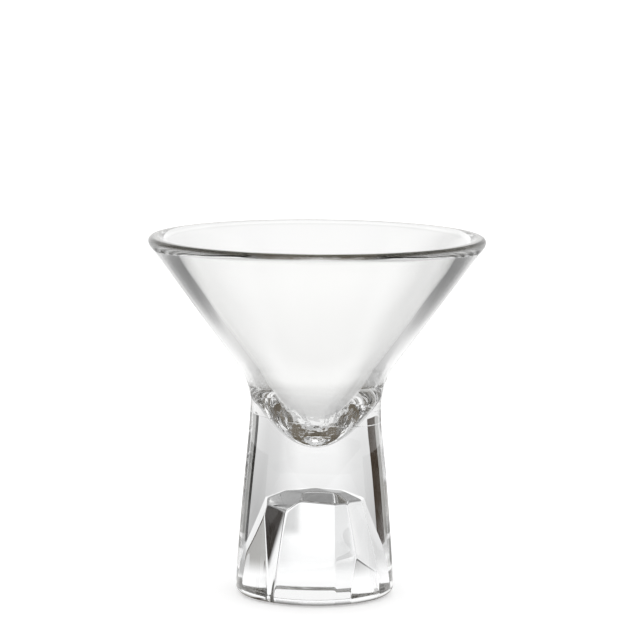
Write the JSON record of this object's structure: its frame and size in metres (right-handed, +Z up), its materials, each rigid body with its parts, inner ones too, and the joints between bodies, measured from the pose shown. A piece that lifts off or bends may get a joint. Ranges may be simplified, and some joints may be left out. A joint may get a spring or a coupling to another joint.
{
  "type": "cocktail glass",
  "caption": "Short cocktail glass: a wide conical bowl with a rounded rim, fused to a heavy tapered clear base with an irregular faceted hollow in its underside.",
  "frame": {"origin": "centre of the foot ring, on the surface that the glass stands on", "axes": "+Z up along the axis of the bowl and base; -Y towards the viewer in the picture, where the widest facet of the hollow faces; +X to the viewer's right"},
  "size_m": [0.108, 0.108, 0.1155],
  "materials": {
    "bowl_glass": "clear fire-polished glass",
    "base_glass": "clear pressed glass"
  },
  "bodies": {
    "root": {"bowl": "bowl_glass", "base": "base_glass"}
  },
  "joints": []
}
